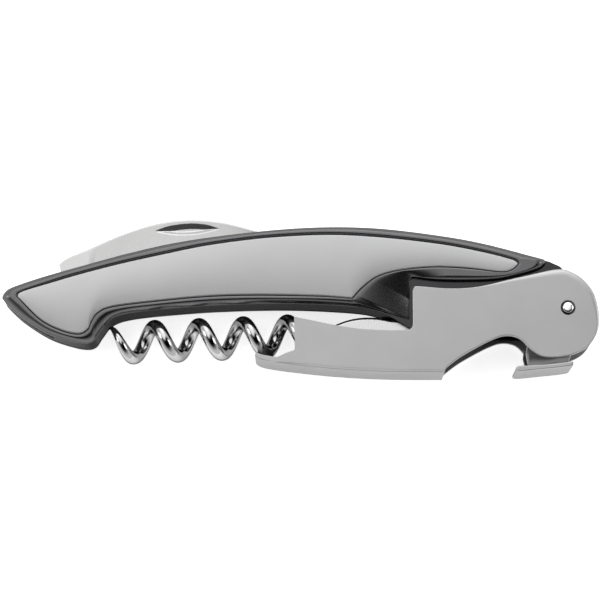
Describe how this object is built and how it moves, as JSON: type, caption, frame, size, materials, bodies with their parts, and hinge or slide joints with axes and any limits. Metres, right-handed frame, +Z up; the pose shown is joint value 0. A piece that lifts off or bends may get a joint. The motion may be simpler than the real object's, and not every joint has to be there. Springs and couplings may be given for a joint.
{
  "type": "lever corkscrew",
  "caption": "Folded lever corkscrew with inlaid handle, pivoting worm, stepped lever with crown cap hook, and a folding serrated foil knife.",
  "frame": {"origin": "middle of the folded outline's box, on the flat surface that the object lies on", "axes": "+X along the length towards the lever pivot, +Y across the width towards the knife, +Z up through the thickness from the side it lies on"},
  "size_m": [0.12, 0.0321, 0.012],
  "materials": {
    "frame": "gloss",
    "inlay": "satin",
    "liner": "gloss",
    "core": "gloss",
    "rivet": "polished",
    "lever_steel": "satin",
    "worm_plating": "polished",
    "hub_steel": "satin",
    "blade_steel": "satin"
  },
  "bodies": {
    "handle": {"front_shell": "frame", "back_shell": "frame", "front_inlay": "inlay", "back_inlay": "inlay", "front_liner": "liner", "back_liner": "liner", "knife_core": "core", "spine_spacer": "core", "shell_rivets": "rivet", "lever_pin": "rivet", "lever_washers": "rivet", "worm_pin": "rivet", "worm_washers": "rivet", "knife_pin": "rivet", "knife_washers": "rivet"},
    "lever": {"lever": "lever_steel"},
    "worm": {"worm": "worm_plating", "worm_hub": "hub_steel", "worm_rivet": "rivet"},
    "knife": {"knife_blade": "blade_steel"}
  },
  "joints": [
    {"name": "lever_swing", "type": "hinge", "parent": "handle", "child": "lever", "pos_m": [0.0538, -0.00285, 0.006], "axis": [0, 0, 1], "range_deg": [0, 180]},
    {"name": "worm_swing", "type": "hinge", "parent": "handle", "child": "worm", "pos_m": [0.026, -0.0066, 0.006], "axis": [0, 0, 1], "range_deg": [0, 90]},
    {"name": "knife_swing", "type": "hinge", "parent": "handle", "child": "knife", "pos_m": [-0.044, 0.0017, 0.006], "axis": [0, 0, 1], "range_deg": [0, 163]}
  ],
  "couplings": [
    {"joint": "worm_swing", "follows": "lever_swing", "ratio": 0.5}
  ]
}
